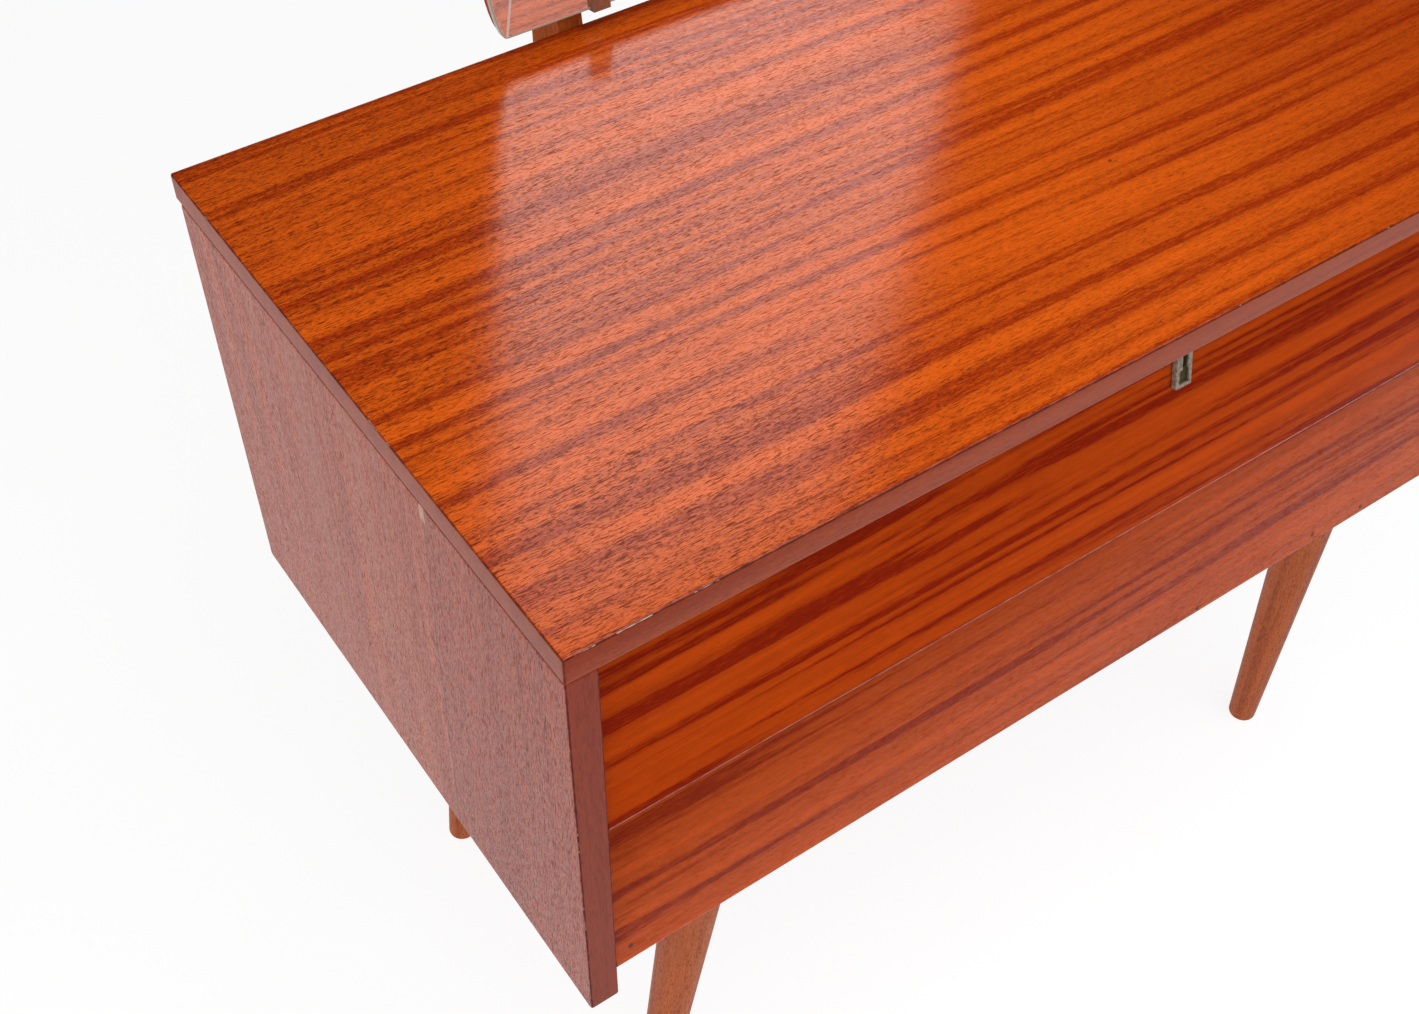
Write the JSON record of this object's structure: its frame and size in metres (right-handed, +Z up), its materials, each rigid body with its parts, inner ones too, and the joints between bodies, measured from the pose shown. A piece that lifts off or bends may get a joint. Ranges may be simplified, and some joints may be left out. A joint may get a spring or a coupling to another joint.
{
  "type": "dressing table with mirror",
  "caption": "Dressing table with slanted full-width drawer fronts, splayed round legs and a tilting mirror.",
  "frame": {"origin": "on the floor, under the middle of the overall bounding box, mirror included", "axes": "+X to the sitter's right hand, +Y from the drawer fronts towards the mirror, +Z up"},
  "size_m": [0.814, 0.5382, 1.4385],
  "materials": {
    "top_veneer": "glossy lacquered ribbon-stripe mahogany veneer, grain along X",
    "side_veneer": "satin lacquered mahogany veneer, upright grain",
    "front_veneer": "glossy lacquered ribbon-stripe mahogany veneer, grain along X",
    "leg_wood": "satin lacquered turned mahogany, grain along the leg",
    "mirror_wood": "satin stained mahogany",
    "beech": "bare planed beech",
    "plywood": "bare sanded plywood",
    "nickel": "worn nickel plate",
    "brass": "tarnished brass",
    "steel": "zinc-plated steel",
    "clip_bronze": "dark bronzed steel",
    "felt": "green felt",
    "mirror_glass": "silvered glass with a facet down each side"
  },
  "bodies": {
    "case": {"top_panel": "top_veneer", "side_panel_left": "side_veneer", "side_panel_right": "side_veneer", "bottom_panel": "side_veneer", "divider_panel": "beech", "back_panel": "plywood", "runner_upper_left": "beech", "runner_upper_right": "beech", "runner_lower_left": "beech", "runner_lower_right": "beech", "strike_plate": "steel", "leg_front_left": "leg_wood", "leg_front_right": "leg_wood", "leg_back_left": "leg_wood", "leg_back_right": "leg_wood", "leg_plate_front_left": "steel", "leg_plate_front_right": "steel", "leg_plate_back_left": "steel", "leg_plate_back_right": "steel", "leg_bolt_front_left": "steel", "leg_bolt_front_right": "steel", "leg_bolt_back_left": "steel", "leg_bolt_back_right": "steel", "mirror_upright_left": "mirror_wood", "mirror_upright_right": "mirror_wood", "upright_packer_left": "beech", "upright_packer_right": "beech", "upright_screw_upper_left": "steel", "upright_screw_upper_right": "steel", "upright_screw_lower_left": "steel", "upright_screw_lower_right": "steel", "mirror_buffer_left": "felt", "mirror_buffer_right": "felt", "pivot_bolt_left": "steel", "pivot_bolt_right": "steel", "pivot_nut_left": "brass", "pivot_nut_right": "brass"},
    "upper_drawer": {"upper_drawer_front": "front_veneer", "upper_drawer_side_left": "beech", "upper_drawer_side_right": "beech", "upper_drawer_bottom": "plywood", "upper_drawer_back": "beech", "lock_housing": "nickel", "lock_case": "steel"},
    "lower_drawer": {"lower_drawer_front": "front_veneer", "lower_drawer_side_left": "beech", "lower_drawer_side_right": "beech", "lower_drawer_bottom": "plywood", "lower_drawer_back": "beech"},
    "bolt": {"lock_bolt": "brass"},
    "mirror": {"mirror_board": "mirror_wood", "mirror_glass": "mirror_glass", "mirror_clip_lower_left": "clip_bronze", "mirror_clip_lower_right": "clip_bronze", "mirror_clip_upper_left": "clip_bronze", "mirror_clip_upper_right": "clip_bronze", "pivot_bracket_left": "steel", "pivot_bracket_right": "steel"}
  },
  "joints": [
    {"name": "upper_drawer_slide", "type": "slide", "parent": "case", "child": "upper_drawer", "axis": [0, -1, 0], "range_m": [0, 0.28]},
    {"name": "lower_drawer_slide", "type": "slide", "parent": "case", "child": "lower_drawer", "axis": [0, -1, 0], "range_m": [0, 0.28]},
    {"name": "lock_bolt_slide", "type": "slide", "parent": "upper_drawer", "child": "bolt", "axis": [0, 0.2079, 0.9781], "range_m": [0, 0.009]},
    {"name": "mirror_tilt", "type": "hinge", "parent": "case", "child": "mirror", "pos_m": [0, 0.23542, 1.09545], "axis": [-1, 0, 0], "range_deg": [0, 25]}
  ]
}
